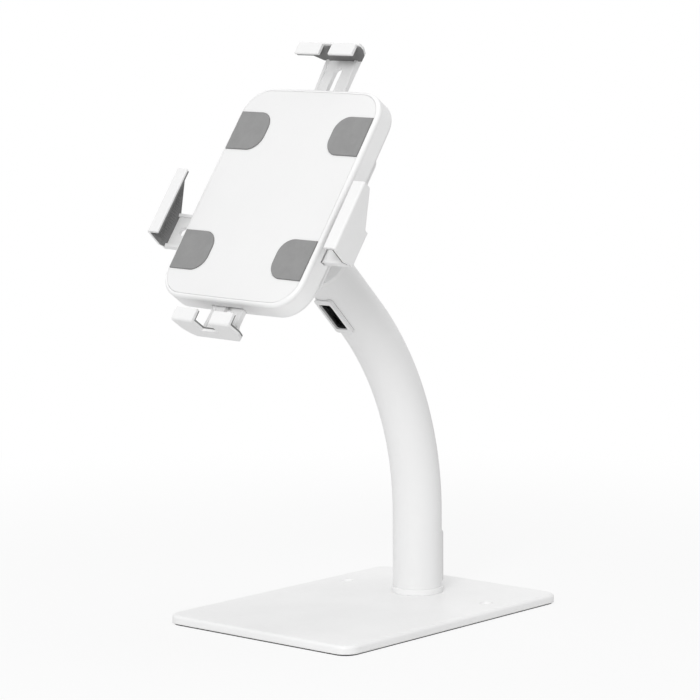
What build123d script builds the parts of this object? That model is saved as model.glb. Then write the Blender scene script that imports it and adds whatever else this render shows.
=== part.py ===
"""Adjustable tablet stand: base plate, bent pole, tilting and turning holder with four jaws.

Millimetres, +Z up, front towards -Y, origin in the middle of the base's underside.
The holder is drawn flat (x right, y up along the face, z out of the face) and then placed.
"""
import os
from math import cos, radians, sin

from build123d import *

# Clearances and the overrun of all cuts
overrun = 2.0
seat_gap = 0.05
running_gap = 0.06
slide_gap = 0.3

# Base plate and the sheet under it
base_width = 180.0
base_depth = 250.0
base_corner = 12.0
base_thickness = 6.3
base_edge_round = 2.4
sheet_thickness = 1.2
sheet_inset = 1.6
anchor_spacing = 140.0
anchor_y = 58.0
anchor_diameter = 5.5
anchor_sink_diameter = 10.0
anchor_sink_depth = 2.4

# Pole
pole_diameter = 38.0
pole_wall = 2.0
pole_y = 61.0
bend_start = 70.0
bend_radius = 218.6
bend_angle = 45.8
top_run = 55.0

# Foot of the pole
plug_height = 8.0
pole_screw_circle = 21.0
pole_screw_count = 3
pole_screw_diameter = 6.0
pole_screw_head = 10.5
pole_screw_head_height = 3.4
pole_screw_bite = 7.0
collar_thickness = 1.2
collar_height = 4.6

# Cable ports
port_width = 19.0
port_opening = 11.5
port_corner = 2.5
port_opening_corner = 1.5
port_sleeve = 1.0
port_sleeve_depth = 1.0
lower_port_length = 41.0
lower_port_opening = 34.0
lower_port_height = 33.5
lower_port_proud = 1.6
upper_port_length = 37.0
upper_port_opening = 28.0
upper_port_run = 23.0
upper_port_proud = 1.2
upper_port_width = 16.5

# Head of the pole and tilt hinge
head_plug_length = 15.0
head_cap_thickness = 3.0
head_cap_round = 0.8
head_screw_diameter = 5.0
head_screw_head = 8.6
head_screw_setback = 9.0
head_screw_length = 11.0
pin_distance = 24.0
pin_diameter = 8.0
lug_thickness = 12.0
lug_radius = 10.5
lug_foot = 24.0
washer_thickness = 0.8
washer_radius = 9.5
bolt_head_diameter = 13.6
bolt_head_height = 3.2
bolt_socket = 5.0
nut_flats = 13.0
nut_height = 4.0
recess_gap = 0.2

# Holder place
tilt_back = 34.0
holder_turn = 1.8
swivel_rise = 11.17
pin_to_face = 56.94

# Tilt bracket
cheek_thickness = 6.2
cheek_radius = 10.5
cheek_foot_low = 22.0
cheek_foot_high = 1.0
web_thickness = 4.0
web_foot_high = 9.0
disc_diameter = 56.0
disc_thickness = 5.0
disc_round = 1.0
friction_ring_thickness = 1.0
friction_ring_outer = 38.0
friction_ring_inner = 12.0

# Swivel screw
swivel_diameter = 8.0
swivel_head_diameter = 14.0
swivel_head_height = 4.5
swivel_tip = 1.5
swivel_washer_diameter = 20.0
swivel_washer_thickness = 2.0
swivel_face_gap = 0.05

# Holder body
body_width = 136.3
body_height = 179.0
body_corner = 23.0
body_bow = 0.8
body_depth = 18.5
body_wall = 2.5
back_round = 3.5
bezel_depth = 4.0
rim_width = 2.85
rim_round = 2.6
ledge_width = 3.0
face_thickness = 2.0
inlay_gap = 0.2
swivel_boss_diameter = 40.0
swivel_boss_depth = 27.0
swivel_boss_round = 1.0
swivel_pocket_diameter = 24.0
swivel_floor = 5.0
corner_slot_angle = 60.0
corner_slot_width = 3.2
corner_slot_height = 7.0
corner_slot_depth = 1.6

# Housing screws and their pillars
pillar_radius = 4.0
pillar_inset = 14.0
housing_screw_diameter = 3.2
housing_screw_head = 6.4
housing_screw_head_height = 1.8
housing_screw_length = 12.0

# Corner pads of the face
pad_inner_x = 32.2
pad_low_y = 35.0
pad_high_y = 67.0
pad_corner = 12.5
pad_proud = 0.8
pad_sunk = 1.2
pad_gap = 0.25
pad_edge_round = 0.3

# Arms
arm_level = 10.0
arm_thickness = 3.2
arm_end_round = 2.0
arm_slot_width = 7.0
arm_slot_start = 6.0
arm_slot_rest = 5.0
arm_rib_height = 1.8
arm_rib_length = 27.0
arm_rib_thickness = 2.4
arm_flare = 4.0
arm_flare_length = 8.0
end_arm_half = 15.0
end_arm_length = 95.5
side_arm_half = 14.0
side_arm_length = 50.2
side_arm_y = -32.0
mouth_gap = 0.9
mouth_drop = 0.4
rail_thickness = 1.6
runner_thickness = 2.0
runner_inset = 6.5
rail_start = 14.0

# Clamp screws of the arms
end_clamp_rest = 13.1
side_clamp_rest = 10.75
clamp_diameter = 4.0
clamp_hole_gap = 0.15
clamp_head_diameter = 7.4
clamp_head_height = 2.4
clamp_sunk = 3.0
clamp_boss_radius = 6.0
insert_diameter = 6.0
insert_length = 5.4
insert_boss_radius = 5.0
boss_clear = 0.2

# Jaws
jaw_wall = 3.2
lip_thickness = 2.3
lip_reach = 7.4
lip_round = 0.8
jaw_space = 8.2
jaw_corner = 2.4
jaw_edge_round = 1.8
liner_thickness = 1.2
liner_setback = 0.4
top_jaw_y = 120.4
bottom_jaw_y = 109.4
side_jaw_x = 89.75
top_jaw_half = 29.3
top_flank_low = 4.0
top_shoulder_half = 25.0
top_shoulder_drop = 4.0
top_neck_half = 17.5
top_neck_drop = 11.0
top_lip_gap = 9.6
top_lip_gap_middle = -1.2
top_lip_setback = 2.6
bottom_jaw_half = 28.2
bottom_flank_drop = 2.5
bottom_shoulder_half = 25.5
bottom_shoulder_drop = 9.3
bottom_foot_half = 21.0
bottom_lip_gap = 16.6
bottom_lip_gap_middle = 0.6
bottom_notch_drop = 3.0
side_tip_top = 9.5
side_tip_low_y = 9.0
side_tip_low = 3.0
side_shoulder_y = -18.0
side_shoulder_drop = 10.2
side_heel_y = -45.0
side_heel_bulge_y = -46.9
side_heel_bulge_drop = 4.9
side_foot_top = -44.5

# Rear cover and lock
cover_half_width = 66.0
cover_low = -68.0
cover_high = 48.0
cover_corner = 10.0
cover_thickness = 2.5
cover_round = 1.1
cover_notch_half = 21.0
lock_x = -44.0
lock_case_diameter = 16.0
lock_case_proud = 1.0
lock_core_diameter = 11.0
lock_core_proud = 0.8
lock_case_inset = 0.2
key_slot_width = 1.4
key_slot_length = 6.0
key_slot_depth = 3.0
cam_thickness = 3.0
cam_reach = 14.0
cam_root_radius = 5.0
cam_tip_radius = 3.2
cam_gap = 0.3

# Worked out from the sizes above
base_top = sheet_thickness + base_thickness
pole_radius = pole_diameter / 2
bore_radius = pole_radius - pole_wall
bend_axis = Axis((0, pole_y - bend_radius, bend_start), (1, 0, 0))
half_width = body_width / 2
half_height = body_height / 2
arm_back = arm_level + arm_thickness
lip_top = jaw_space + lip_thickness
end_clamp_y = top_jaw_y - end_arm_length + arm_slot_rest + end_clamp_rest
side_clamp_x = side_jaw_x - side_arm_length + arm_slot_rest + side_clamp_rest
floor_level = body_depth - body_wall
cover_back = body_depth + cover_thickness
disc_front = swivel_boss_depth + friction_ring_thickness
disc_back = disc_front + disc_thickness
swivel_pocket_level = swivel_boss_depth - swivel_floor
fork_half = lug_thickness / 2 + washer_thickness
cheek_out = fork_half + cheek_thickness


def bend_plane(angle, offset=0):
    """Plane across the pole at an angle of the bend, moved along the pole by an offset."""
    turn = radians(angle)
    tangent = Vector(0, -sin(turn), cos(turn))
    centre = Vector(
        0,
        pole_y - bend_radius + bend_radius * cos(turn),
        bend_start + bend_radius * sin(turn),
    )
    return Plane(origin=centre + tangent * offset, x_dir=(1, 0, 0), z_dir=tangent)


tilt_turn = radians(tilt_back)
face_out = Vector(0, -cos(tilt_turn), sin(tilt_turn))
face_up = Vector(0, sin(tilt_turn), cos(tilt_turn))
pin_centre = bend_plane(bend_angle, top_run + pin_distance).origin
holder_centre = pin_centre + face_up * swivel_rise + face_out * pin_to_face
tilt_plane = Plane(origin=holder_centre, x_dir=(1, 0, 0), z_dir=face_out)
own_turn = radians(holder_turn)
holder_side = Vector(1, 0, 0) * cos(own_turn) - face_up * sin(own_turn)
holder_plane = Plane(origin=holder_centre, x_dir=holder_side, z_dir=face_out)


def on_tilt(shape):
    """Place a shape drawn in the flat frame on the tilted bracket."""
    return tilt_plane.location * shape


def on_holder(shape):
    """Place a shape drawn in the flat frame on the tilted and turned holder."""
    return holder_plane.location * shape


def slab(outline, low, high):
    """Extrude a flat outline between two levels."""
    return extrude(Plane.XY.offset(low) * outline, high - low)


def disc(radius, low, high, x=0, y=0):
    """Round bar along z between two levels."""
    return slab(Pos(x, y) * Circle(radius), low, high)


def box(x_range, y_range, z_range):
    """Box between pairs of limits."""
    size = [high - low for low, high in (x_range, y_range, z_range)]
    middle = [(high + low) / 2 for low, high in (x_range, y_range, z_range)]
    return Pos(*middle) * Box(*size)


def side_face(outline, x, thickness):
    """Extrude an outline drawn in (y, z) along +x from a start x."""
    return extrude(Plane((x, 0, 0), x_dir=(0, 1, 0), z_dir=(1, 0, 0)) * outline, thickness)


def polygon(points):
    """Closed face through a list of corners."""
    return make_face(Polyline(*points, close=True))


def hull(*outlines):
    """Face that wraps several outlines."""
    edges = ShapeList()
    for outline in outlines:
        edges += outline.edges()
    return make_hull(edges)


# Base
def make_base_plate():
    outline = RectangleRounded(base_width, base_depth, base_corner)
    plate = slab(outline, sheet_thickness, base_top)
    rim = plate.faces().sort_by(Axis.Z)[-1].edges()
    plate = fillet(rim, base_edge_round)
    for side in (-1, 1):
        x = side * anchor_spacing / 2
        plate -= disc(anchor_diameter / 2, 0, base_top + overrun, x, anchor_y)
        plate -= Pos(x, anchor_y, base_top - anchor_sink_depth / 2) * Cone(
            anchor_diameter / 2, anchor_sink_diameter / 2, anchor_sink_depth
        )
    for place in pole_screw_places():
        plate -= place * disc(pole_screw_diameter / 2 + seat_gap, 0, base_top + overrun)
        plate -= place * disc(
            pole_screw_head / 2 + recess_gap, 0, sheet_thickness + pole_screw_head_height
        )
    return plate


def pole_screw_places():
    turns = [360 * step / pole_screw_count + 90 for step in range(pole_screw_count)]
    return [
        Pos(
            pole_screw_circle / 2 * cos(radians(turn)),
            pole_y + pole_screw_circle / 2 * sin(radians(turn)),
        )
        for turn in turns
    ]


def make_base_sheet():
    outline = RectangleRounded(
        base_width - 2 * sheet_inset, base_depth - 2 * sheet_inset, base_corner - sheet_inset
    )
    sheet = slab(outline, 0, sheet_thickness)
    for side in (-1, 1):
        sheet -= disc(
            anchor_sink_diameter / 2, -overrun, base_top, side * anchor_spacing / 2, anchor_y
        )
    for place in pole_screw_places():
        sheet -= place * disc(pole_screw_head / 2 + recess_gap, -overrun, base_top)
    return sheet


def make_pole_screw():
    head_top = sheet_thickness + pole_screw_head_height
    screw = disc(pole_screw_head / 2, sheet_thickness, head_top)
    screw += disc(pole_screw_diameter / 2, head_top, base_top + pole_screw_bite)
    socket = RegularPolygon(pole_screw_diameter / 2, 6)
    screw -= slab(socket, 0, sheet_thickness + pole_screw_head_height / 2)
    return screw


def make_foot_plug():
    plug = disc(bore_radius - seat_gap, base_top, base_top + plug_height, 0, pole_y)
    plug = chamfer(plug.faces().sort_by(Axis.Z)[-1].edges(), pole_wall / 2)
    for place in pole_screw_places():
        plug -= place * disc(
            pole_screw_diameter / 2 + seat_gap, 0, base_top + pole_screw_bite + seat_gap
        )
    return plug


def make_collar():
    inner = pole_radius + seat_gap
    ring = Circle(inner + collar_thickness) - Circle(inner)
    collar = Pos(0, pole_y) * slab(ring, base_top, base_top + collar_height)
    top = collar.faces().sort_by(Axis.Z)[-1].edges().sort_by(SortBy.LENGTH)[-1]
    return fillet(top, collar_thickness / 2)


# Pole and its ports
def pole_bar(outline):
    foot = Plane((0, pole_y, base_top))
    bar = extrude(foot * outline, bend_start - base_top)
    start = Plane((0, pole_y, bend_start))
    bar += revolve(start * outline, axis=bend_axis, revolution_arc=bend_angle)
    return bar + extrude(bend_plane(bend_angle) * outline, top_run)


def port_planes():
    turn = radians(bend_angle)
    lower = Plane((0, pole_y, lower_port_height), x_dir=(1, 0, 0), z_dir=(0, 1, 0))
    centre = bend_plane(bend_angle, upper_port_run).origin
    upper = Plane(centre, x_dir=(1, 0, 0), z_dir=(0, -cos(turn), -sin(turn)))
    return lower, upper


def port_sleeve_outline(opening, gap=0):
    grow = 2 * (port_sleeve + gap)
    return RectangleRounded(port_opening + grow, opening + grow, port_opening_corner + port_sleeve)


def make_port(plane, width, length, opening, proud):
    face = pole_radius + proud
    flange = slab(RectangleRounded(width, length, port_corner), bore_radius / 2, face)
    flange = fillet(flange.faces().sort_by(Axis.Z)[-1].edges(), proud / 3)
    flange = plane.location * flange - pole_bar(Circle(pole_radius + seat_gap))
    flange = flange.solids().sort_by(SortBy.VOLUME)[-1]
    sleeve = slab(port_sleeve_outline(opening), bore_radius - port_sleeve_depth, face - proud / 2)
    port = flange + plane.location * sleeve
    mouth = RectangleRounded(port_opening, opening, port_opening_corner)
    return port - plane.location * slab(mouth, 0, face + overrun)


def make_pole_tube():
    tube = pole_bar(Circle(pole_radius) - Circle(bore_radius))
    lower, upper = port_planes()
    for plane, opening in ((lower, lower_port_opening), (upper, upper_port_opening)):
        hole = slab(port_sleeve_outline(opening, seat_gap), 0, pole_radius + overrun)
        tube -= plane.location * hole
    return tube - head_screw_cut()


# Head of the pole
def head_screw_plane():
    """Plane at the tube's upper side, z out of the tube."""
    turn = radians(bend_angle)
    out = Vector(0, cos(turn), sin(turn))
    centre = bend_plane(bend_angle, top_run - head_screw_setback).origin
    return Plane(centre, x_dir=(1, 0, 0), z_dir=out)


def head_screw_form(gap):
    """Countersunk screw with its head flush with the tube's outside."""
    head = head_screw_head / 2
    shank = head_screw_diameter / 2
    top = pole_radius + overrun if gap else pole_radius - seat_gap
    sink = head - shank
    form = disc(shank + gap, pole_radius - head_screw_length - gap, pole_radius - sink)
    cone = Pos(0, 0, pole_radius - sink / 2) * Cone(shank + gap, head + gap, sink)
    form += cone
    if gap:
        form += disc(head + gap, pole_radius, top)
    return form


def head_screw_cut():
    return head_screw_plane().location * head_screw_form(seat_gap)


def make_head_screw():
    screw = head_screw_form(0)
    crown = Circle(pole_radius * 2) - Circle(pole_radius - seat_gap)
    crown = Plane.XZ * crown
    trim = extrude(crown, pole_radius, both=True)
    screw -= trim
    socket = RegularPolygon(head_screw_diameter / 3, 6)
    screw -= slab(socket, pole_radius - head_screw_diameter / 2, pole_radius + overrun)
    return head_screw_plane().location * screw


def make_pole_head():
    end = bend_plane(bend_angle, top_run)
    plug = disc(bore_radius - seat_gap, -head_plug_length, 0)
    cap = slab(Circle(pole_radius), 0, head_cap_thickness)
    cap = fillet(cap.faces().sort_by(Axis.Z)[-1].edges(), head_cap_round)
    foot = Pos(0, head_cap_thickness / 2) * Rectangle(lug_foot, head_cap_thickness)
    eye = Pos(0, pin_distance) * Circle(lug_radius)
    lug = side_face(hull(foot, eye), -lug_thickness / 2, lug_thickness)
    eye_bore = Pos(0, pin_distance) * Circle(pin_diameter / 2 + running_gap)
    lug -= side_face(eye_bore, -lug_thickness, 2 * lug_thickness)
    head = end.location * (plug + cap + lug)
    return head - head_screw_cut()


# Tilt hinge
def pin_place():
    return Pos(0, -swivel_rise, -pin_to_face)


def along_x(outline, start, length):
    """Extrude an outline centred on the pin along +x."""
    return pin_place() * side_face(outline, start, length)


def make_tilt_bolt():
    head_low = cheek_out - bolt_head_height - recess_gap
    bolt = along_x(Circle(bolt_head_diameter / 2), head_low, bolt_head_height)
    shank_end = cheek_out - recess_gap
    bolt += along_x(Circle(pin_diameter / 2), -shank_end, shank_end + head_low)
    socket_low = head_low + bolt_head_height / 3
    return bolt - along_x(RegularPolygon(bolt_socket / 2, 6), socket_low, bolt_head_height)


def nut_outline(gap=0):
    return RegularPolygon(nut_flats / 2 + gap, 6, major_radius=False)


def make_tilt_nut():
    ring = nut_outline() - Circle(pin_diameter / 2 + seat_gap)
    return along_x(ring, recess_gap - cheek_out, nut_height)


def make_tilt_washers():
    ring = Circle(washer_radius) - Circle(pin_diameter / 2 + seat_gap)
    starts = (-fork_half, lug_thickness / 2)
    return [along_x(ring, start, washer_thickness) for start in starts]


def make_bracket():
    plate = disc(disc_diameter / 2, -disc_back, -disc_front)
    plate = fillet(plate.faces().sort_by(Axis.Z)[0].edges(), disc_round)
    eye = Pos(-swivel_rise, -pin_to_face) * Circle(cheek_radius)
    foot_size = cheek_foot_low - cheek_foot_high
    foot = Pos(-(cheek_foot_low + cheek_foot_high) / 2, -disc_back) * Rectangle(
        foot_size, disc_thickness
    )
    cheek = hull(eye, foot)
    bracket = plate
    for start in (fork_half, -cheek_out):
        bracket += side_face(cheek, start, cheek_thickness)
    bracket += box(
        (-cheek_out, cheek_out),
        (-cheek_foot_low, -web_foot_high),
        (-disc_back - web_thickness, -disc_back + disc_thickness / 2),
    )
    bracket -= along_x(Circle(pin_diameter / 2 + seat_gap), -cheek_out - overrun, 4 * cheek_out)
    head_depth = bolt_head_height + recess_gap
    head_bore = Circle(bolt_head_diameter / 2 + recess_gap)
    bracket -= along_x(head_bore, cheek_out - head_depth, head_depth + overrun)
    nut_depth = nut_height + recess_gap
    nut_bore = nut_outline(seat_gap)
    bracket -= along_x(nut_bore, -cheek_out - overrun, nut_depth + overrun)
    swivel_bore = disc(
        swivel_diameter / 2 + seat_gap, -disc_back - overrun, -disc_front + overrun
    )
    return bracket - swivel_bore


def make_swivel_screw():
    head_low = swivel_pocket_level - swivel_washer_thickness
    screw = disc(swivel_head_diameter / 2, -head_low, swivel_head_height - head_low)
    screw += disc(swivel_diameter / 2, -disc_back - swivel_tip, -head_low)
    socket = RegularPolygon(swivel_diameter / 3, 6)
    top = swivel_head_height - head_low
    return screw - slab(socket, top - swivel_head_height / 2, top + overrun)


def make_swivel_washer():
    ring = Circle(swivel_washer_diameter / 2) - Circle(swivel_diameter / 2 + seat_gap)
    low = swivel_face_gap - swivel_pocket_level
    return slab(ring, low, swivel_washer_thickness - swivel_pocket_level)


def make_friction_ring():
    ring = Circle(friction_ring_outer / 2) - Circle(friction_ring_inner / 2)
    return slab(ring, -disc_front, -swivel_boss_depth - swivel_face_gap)


# Holder shell
def body_outline(inset=0):
    """Rounded outline of the holder with slightly bowed sides."""
    x = half_width - inset
    y = half_height - inset
    bow = body_bow
    corners = [(x - bow, y - bow), (bow - x, y - bow), (bow - x, bow - y), (x - bow, bow - y)]
    crowns = [(0, y), (-x, 0), (0, -y), (x, 0)]
    arcs = [
        ThreePointArc(corners[step], crowns[step], corners[(step + 1) % 4]) for step in range(4)
    ]
    face = make_face(Curve() + arcs)
    return fillet(face.vertices(), body_corner - inset)


def inlay_outline(gap=0):
    return body_outline(rim_width + gap)


def pillar_places():
    x = half_width - pillar_inset
    y = half_height - pillar_inset
    return [Pos(sx * x, sy * y) for sx in (-1, 1) for sy in (-1, 1)]


def make_front_bezel():
    bezel = slab(body_outline(), -bezel_depth, 0)
    bezel = fillet(bezel.faces().sort_by(Axis.Z)[-1].edges(), rim_round)
    bezel -= slab(inlay_outline(), -face_thickness, overrun)
    bezel -= slab(body_outline(rim_width + ledge_width), -bezel_depth - overrun, overrun)
    within = slab(body_outline(rim_width / 2), -body_depth, 0)
    for place in pillar_places():
        pillar = disc(pillar_radius, -floor_level, -face_thickness)
        arm = box(
            (-pillar_radius, pillar_radius),
            (0, pillar_inset - rim_width),
            (-bezel_depth, -face_thickness),
        )
        turned = Rot(0, 0, 0 if place.position.Y > 0 else 180) * arm
        bezel += place * pillar
        bezel += (place * turned) & within
        hole = disc(housing_screw_diameter / 2 + seat_gap, -body_depth, -pillar_hole_top())
        bezel -= place * hole
    return bezel


def pillar_hole_top():
    return body_depth - housing_screw_length - seat_gap


def clamp_places():
    return [
        Pos(0, end_clamp_y),
        Pos(0, -end_clamp_y),
        Pos(side_clamp_x, side_arm_y),
        Pos(-side_clamp_x, side_arm_y),
    ]


def pad_outline(gap=0):
    """Pad of the upper right corner, its flat side along the inlay's long edge."""
    outer = half_width
    low = pad_low_y - gap
    high = pad_high_y + gap
    inner = pad_inner_x - gap
    shape = Pos((inner + outer) / 2, (low + high) / 2) * Rectangle(outer - inner, high - low)
    corners = shape.vertices().group_by(Axis.X)[0]
    shape = fillet(corners, pad_corner + gap)
    return shape & inlay_outline(inlay_gap)


def corner_copies(shape):
    """Copies of a right upper piece for the four corners."""
    left = mirror(shape, about=Plane.YZ)
    return {
        "right_top": shape,
        "left_top": left,
        "right_bottom": mirror(shape, about=Plane.XZ),
        "left_bottom": mirror(left, about=Plane.XZ),
    }


def make_face_plate():
    plate = slab(inlay_outline(inlay_gap), -face_thickness, 0)
    pocket = slab(pad_outline(pad_gap), -pad_sunk, overrun)
    for copy in corner_copies(pocket).values():
        plate -= copy
    for place in clamp_places():
        plate += place * disc(
            insert_boss_radius, boss_clear - arm_level, -face_thickness
        )
        plate -= place * disc(
            insert_diameter / 2 + seat_gap, -arm_level, boss_clear - arm_level + insert_length
        )
    return plate


def make_pad():
    pad = slab(pad_outline(), -pad_sunk, pad_proud)
    return fillet(pad.faces().sort_by(Axis.Z)[-1].edges(), pad_edge_round)


def make_inserts():
    ring = Circle(insert_diameter / 2) - Circle(clamp_diameter / 2 + seat_gap)
    insert = slab(ring, boss_clear - arm_level, boss_clear - arm_level + insert_length)
    return [place * insert for place in clamp_places()]


def make_clamp_screw():
    head_low = body_depth - clamp_sunk
    head = disc(clamp_head_diameter / 2, -head_low - clamp_head_height, -head_low)
    tip = boss_clear - arm_level + insert_length - recess_gap
    screw = head + disc(clamp_diameter / 2, -head_low, tip)
    socket = RegularPolygon(clamp_diameter / 3, 6)
    bottom = -head_low - clamp_head_height
    return screw - slab(socket, bottom - overrun, bottom + clamp_head_height / 2)


def make_housing_screw():
    head_top = housing_screw_head_height - body_depth
    shank = housing_screw_diameter / 2
    screw = disc(shank, -body_depth, housing_screw_length - body_depth)
    middle = housing_screw_head_height / 2 - body_depth
    screw += Pos(0, 0, middle) * Cone(housing_screw_head / 2, shank, housing_screw_head_height)
    slot = RegularPolygon(shank * 2 / 3, 6)
    return screw - slab(slot, -body_depth - overrun, (head_top - body_depth) / 2)


def rails(half, start, stop):
    """Guides of one arm along +y: two side rails and two runners under the arm."""
    inner = half + slide_gap
    low = -floor_level - body_wall / 2
    runner_top = -arm_back - slide_gap
    guides = []
    for side in (-1, 1):
        edge = sorted((side * inner, side * (inner + rail_thickness)))
        guides.append(box(edge, (start, stop), (low, -arm_level)))
        middle = side * (half - runner_inset)
        track = (middle - runner_thickness / 2, middle + runner_thickness / 2)
        guides.append(box(track, (start, stop), (low, runner_top)))
    return guides


def make_rear_housing():
    shell = slab(body_outline(), -body_depth, -bezel_depth)
    shell = fillet(shell.faces().sort_by(Axis.Z)[0].edges(), back_round)
    shell -= slab(body_outline(body_wall), -floor_level, overrun)

    # Guides of the arms
    end_stop = half_height - body_wall / 2
    side_stop = half_width - body_wall / 2
    side_start = end_arm_half + slide_gap + rail_thickness / 2
    for guide in rails(end_arm_half, rail_start, end_stop):
        shell += guide
        shell += mirror(guide, about=Plane.XZ)
    for guide in rails(side_arm_half, side_start, side_stop):
        turned = Pos(0, side_arm_y) * Rot(0, 0, -90) * guide
        shell += turned
        shell += mirror(turned, about=Plane.YZ)

    # Mouths of the arms
    end_half = end_arm_half + mouth_gap
    side_half = side_arm_half + mouth_gap
    mouth_level = (-arm_back - mouth_drop, arm_rib_height - arm_level + mouth_drop)
    deep = body_wall + body_bow
    end_reach = (half_height - deep, half_height + overrun)
    side_reach = (half_width - deep, half_width + overrun)
    side_range = (side_arm_y - side_half, side_arm_y + side_half)
    for side in (-1, 1):
        reach = sorted(side * value for value in end_reach)
        shell -= box((-end_half, end_half), reach, mouth_level)
        reach = sorted(side * value for value in side_reach)
        shell -= box(reach, side_range, mouth_level)

    # Clamp screw bosses and their counterbores
    for place in clamp_places():
        shell += place * disc(
            clamp_boss_radius, -floor_level - body_wall / 2, -arm_back - slide_gap
        )
    for place in clamp_places():
        shell -= place * disc(clamp_diameter / 2 + clamp_hole_gap, -cover_back, 0)
        shell -= place * disc(
            clamp_head_diameter / 2 + recess_gap, -cover_back, clamp_sunk - body_depth
        )

    # Swivel boss with its pocket and bore
    boss = disc(swivel_boss_diameter / 2, -swivel_boss_depth, -floor_level - body_wall / 2)
    shell += fillet(boss.faces().sort_by(Axis.Z)[0].edges(), swivel_boss_round)
    shell -= disc(swivel_pocket_diameter / 2, -swivel_pocket_level, overrun)
    shell -= disc(swivel_diameter / 2 + running_gap, -swivel_boss_depth - overrun, 0)

    # Lock hole with the way through for its cam
    cam_half = cam_root_radius + slide_gap
    cam_way = (lock_x, lock_x + cam_reach + slide_gap)
    shell -= disc(lock_case_diameter / 2 + seat_gap, -cover_back, 0, lock_x)
    shell -= box(cam_way, (-cam_half, cam_half), (-cover_back, overrun - floor_level))

    # Housing screws
    for place in pillar_places():
        shank = housing_screw_diameter / 2 + seat_gap
        middle = housing_screw_head_height / 2 - body_depth
        head = housing_screw_head / 2 + seat_gap
        shell -= place * disc(shank, -cover_back, 0)
        shell -= place * Pos(0, 0, middle) * Cone(head, shank, housing_screw_head_height)

    # Small slot in the upper right corner
    centre = Pos(half_width - body_corner, half_height - body_corner)
    reach = (body_corner - corner_slot_depth, body_corner + overrun)
    across = (-corner_slot_width / 2, corner_slot_width / 2)
    middle = (bezel_depth + body_depth) / 2
    level = (-middle - corner_slot_height / 2, -middle + corner_slot_height / 2)
    shell -= centre * Rot(0, 0, corner_slot_angle) * box(reach, across, level)
    return shell


# Jaws, drawn with the arm along -y and the wall outward of y = 0
def jaw(outline, lips, arm_middle, arm_half, arm_length, notch=None, flare=0):
    corners = [vertex for vertex in outline.vertices() if vertex.Y > -arm_back + jaw_corner / 4]
    outline = fillet(corners, jaw_corner)
    body = Pos(0, liner_thickness) * extrude(Plane.XZ * outline, liner_thickness - jaw_wall)

    # Lips with their rounded free edge
    for left, right in lips:
        lip = box((left, right), (-lip_reach, jaw_wall), (jaw_space, lip_top))
        body += fillet(lip.edges().filter_by(Axis.X).sort_by(Axis.Y)[:2], lip_round)

    # Slotted arm and its two tapered ribs
    plate_length = arm_length + jaw_wall
    plate = Pos(arm_middle, jaw_wall - plate_length / 2) * Rectangle(2 * arm_half, plate_length)
    plate = fillet(plate.vertices().group_by(Axis.Y)[0], arm_end_round)
    slot_length = arm_length - arm_slot_start - arm_slot_rest
    slot_middle = -arm_slot_start - slot_length / 2
    slot = Pos(arm_middle, slot_middle) * Rot(0, 0, 90) * SlotOverall(slot_length, arm_slot_width)
    if flare:
        outer = arm_half + flare
        plate += polygon([
            (-outer, jaw_wall), (outer, jaw_wall), (arm_half, -arm_flare_length),
            (-arm_half, -arm_flare_length),
        ])
    body += slab(plate, -arm_back, -arm_level)
    body -= slab(slot, -arm_back - overrun, overrun - arm_level)
    top = arm_rib_height - arm_level
    rib = polygon([(0, -arm_level), (0, top), (-arm_rib_length, -arm_level)])
    for side in (-1, 1):
        outer = arm_middle + side * arm_half
        start = min(outer, outer - side * arm_rib_thickness)
        body += side_face(rib, start, arm_rib_thickness)

    # Soft liner on the wall and under the lips
    wall_zone = box(
        (-end_arm_length, end_arm_length), (0, liner_thickness), (-arm_level, jaw_space)
    )
    liner = Pos(0, jaw_wall) * extrude(Plane.XZ * outline, jaw_wall) & wall_zone
    for left, right in lips:
        reach = (liner_setback - lip_reach, liner_thickness)
        level = (jaw_space - liner_thickness, jaw_space)
        liner += box((left + liner_setback, right - liner_setback), reach, level)

    # Rounded outer edge and the notch
    rim = Rectangle(2 * arm_length, 2 * lip_top)
    rim = Pos(jaw_wall - arm_length, 0) * rim
    crown = rim.vertices().group_by(Axis.X)[-1].sort_by(Axis.Y)[-1]
    rim = fillet(crown, jaw_edge_round)
    rim += Pos(jaw_wall - arm_length, -lip_top) * Rectangle(2 * arm_length, 2 * lip_top)
    body &= side_face(rim, -end_arm_length, 2 * end_arm_length)
    if notch:
        left, right, low = notch
        cut = box((left, right), (-overrun, jaw_wall + overrun), (low, lip_top + overrun))
        body -= cut
        liner -= cut
    return body - liner, liner


def mirrored_outline(points):
    """Face from the points of its right flank, top first."""
    return polygon(points + [(-x, y) for x, y in reversed(points)])


def top_outline():
    return mirrored_outline([
        (top_jaw_half, lip_top),
        (top_jaw_half, top_flank_low),
        (top_shoulder_half, -top_shoulder_drop),
        (top_neck_half, -top_neck_drop),
        (end_arm_half, -arm_back),
    ])


def bottom_outline():
    return mirrored_outline([
        (bottom_jaw_half, lip_top),
        (bottom_jaw_half, -bottom_flank_drop),
        (bottom_shoulder_half, -bottom_shoulder_drop),
        (bottom_foot_half, -arm_back),
    ])


def side_outline():
    return polygon([
        (side_tip_top, lip_top),
        (side_tip_low_y, side_tip_low),
        (side_shoulder_y, -side_shoulder_drop),
        (side_shoulder_y, -arm_back),
        (side_heel_y, -arm_back),
        (side_heel_bulge_y, -side_heel_bulge_drop),
        (side_foot_top, lip_top),
    ])


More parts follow.
